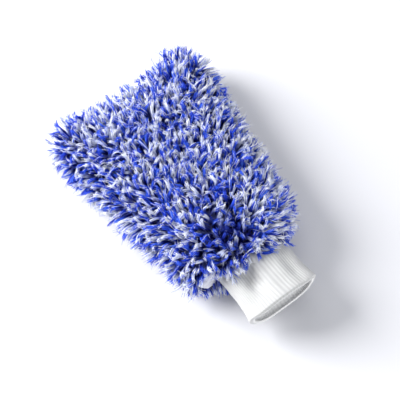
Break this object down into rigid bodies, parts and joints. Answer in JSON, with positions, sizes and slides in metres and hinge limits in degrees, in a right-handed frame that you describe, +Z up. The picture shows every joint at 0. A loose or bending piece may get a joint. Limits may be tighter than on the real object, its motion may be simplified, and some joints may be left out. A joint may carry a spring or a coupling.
{
  "type": "wash mitt",
  "caption": "Plush car wash mitt: a flat, wedge-shaped bag of long blue and white microfibre pile, with a white rib-knit wrist cuff folded double.",
  "frame": {"origin": "centre of the mitt's footprint, on the surface it lies on", "axes": "+Z up from the surface it lies on, +Y from the cuff towards the fingertips, +X across the palm"},
  "size_m": [0.1848, 0.273, 0.064],
  "materials": {
    "pile": "matte",
    "backing_cloth": "matte",
    "lining_cloth": "matte",
    "rib_knit": "matte",
    "thread": "matte"
  },
  "bodies": {
    "root": {"top_pile": "pile", "bottom_pile": "pile", "top_backing": "backing_cloth", "bottom_backing": "backing_cloth", "top_lining": "lining_cloth", "bottom_lining": "lining_cloth", "cuff": "rib_knit", "body_seam_thread": "thread", "lining_seam_thread": "thread", "cuff_seam_thread": "thread", "cuff_join_thread": "thread"}
  },
  "joints": []
}
